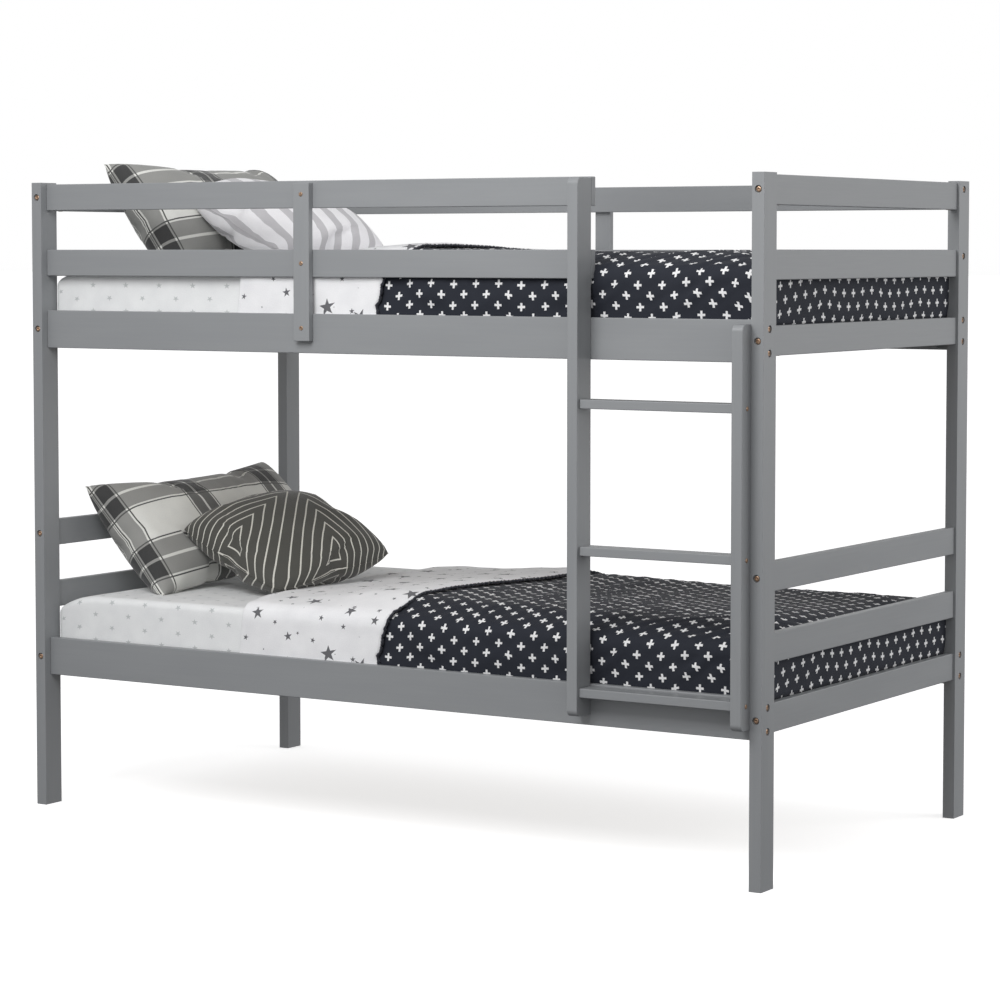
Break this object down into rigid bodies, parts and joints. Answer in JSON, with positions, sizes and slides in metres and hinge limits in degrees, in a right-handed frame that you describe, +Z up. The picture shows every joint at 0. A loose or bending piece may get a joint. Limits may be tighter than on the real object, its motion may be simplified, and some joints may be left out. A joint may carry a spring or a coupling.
{
  "type": "bunk bed with ladder",
  "caption": "Painted wooden twin bunk bed with guard rails, a fixed upright ladder and slatted bases, made up with mattresses, duvets, pillows and cushions.",
  "frame": {"origin": "middle of the footprint on the floor, the footprint counting the ladder that stands 39.3 mm in front of the posts", "axes": "+X along the bed towards the foot and the ladder end, +Y towards the back, +Z up"},
  "size_m": [1.99, 1.1044, 1.5845],
  "materials": {
    "painted_wood": "satin mid-grey paint on solid pine",
    "slat_wood": "bare planed pine",
    "bolt_brass": "brass-plated furniture bolts and screws",
    "mattress_ticking": "white knitted mattress cover",
    "sheet_cotton": "white cotton with small pale grey stars",
    "duvet_cotton": "charcoal navy cotton with white plus signs, white with grey stars on the inside",
    "plaid_cotton": "off-white cotton with a grey and black plaid",
    "diamond_cotton": "dark grey-brown cotton with off-white nested stripes",
    "wave_cotton": "pale cotton with light grey wavy stripes"
  },
  "bodies": {
    "frame": {"post_front_head": "painted_wood", "post_front_foot": "painted_wood", "post_back_head": "painted_wood", "post_back_foot": "painted_wood", "side_rail_front_lower": "painted_wood", "side_rail_back_lower": "painted_wood", "side_rail_front_upper": "painted_wood", "side_rail_back_upper": "painted_wood", "end_rail_head_lower_bottom": "painted_wood", "end_rail_head_lower_middle": "painted_wood", "end_rail_head_lower_top": "painted_wood", "end_rail_foot_lower_bottom": "painted_wood", "end_rail_foot_lower_middle": "painted_wood", "end_rail_foot_lower_top": "painted_wood", "end_rail_head_upper_bottom": "painted_wood", "end_rail_head_upper_middle": "painted_wood", "end_rail_head_upper_top": "painted_wood", "end_rail_foot_upper_bottom": "painted_wood", "end_rail_foot_upper_middle": "painted_wood", "end_rail_foot_upper_top": "painted_wood", "guard_rail_front_lower": "painted_wood", "guard_rail_front_upper": "painted_wood", "guard_rail_back_lower": "painted_wood", "guard_rail_back_upper": "painted_wood", "guard_strip_front": "painted_wood", "guard_strip_back": "painted_wood", "ladder_stile_left": "painted_wood", "ladder_stile_right": "painted_wood", "ladder_rung_1": "painted_wood", "ladder_rung_2": "painted_wood", "ladder_rung_3": "painted_wood", "slat_lower_1": "slat_wood", "slat_lower_2": "slat_wood", "slat_lower_3": "slat_wood", "slat_lower_4": "slat_wood", "slat_lower_5": "slat_wood", "slat_lower_6": "slat_wood", "slat_lower_7": "slat_wood", "slat_lower_8": "slat_wood", "slat_lower_9": "slat_wood", "slat_lower_10": "slat_wood", "slat_upper_1": "slat_wood", "slat_upper_2": "slat_wood", "slat_upper_3": "slat_wood", "slat_upper_4": "slat_wood", "slat_upper_5": "slat_wood", "slat_upper_6": "slat_wood", "slat_upper_7": "slat_wood", "slat_upper_8": "slat_wood", "slat_upper_9": "slat_wood", "slat_upper_10": "slat_wood"},
    "lower_mattress": {"mattress_lower": "mattress_ticking", "duvet_lower": "duvet_cotton"},
    "lower_pillow": {"pillow_lower": "plaid_cotton"},
    "lower_cushion": {"cushion_lower": "diamond_cotton"},
    "upper_mattress": {"mattress_upper": "mattress_ticking", "duvet_upper": "duvet_cotton"},
    "upper_pillow": {"pillow_upper": "plaid_cotton"},
    "upper_cushion": {"cushion_upper": "wave_cotton"}
  },
  "joints": [
    {"name": "lower_mattress_lift", "type": "slide", "parent": "frame", "child": "lower_mattress", "axis": [0, 0, 1], "range_m": [0, 0.15]},
    {"name": "lower_pillow_lift", "type": "slide", "parent": "lower_mattress", "child": "lower_pillow", "axis": [0, 0, 1], "range_m": [0, 0.08]},
    {"name": "lower_cushion_lift", "type": "slide", "parent": "lower_pillow", "child": "lower_cushion", "axis": [0, 0, 1], "range_m": [0, 0.08]},
    {"name": "upper_mattress_lift", "type": "slide", "parent": "frame", "child": "upper_mattress", "axis": [0, 0, 1], "range_m": [0, 0.42]},
    {"name": "upper_pillow_lift", "type": "slide", "parent": "upper_mattress", "child": "upper_pillow", "axis": [0, 0, 1], "range_m": [0, 0.25]},
    {"name": "upper_cushion_lift", "type": "slide", "parent": "upper_pillow", "child": "upper_cushion", "axis": [0, 0, 1], "range_m": [0, 0.25]}
  ]
}
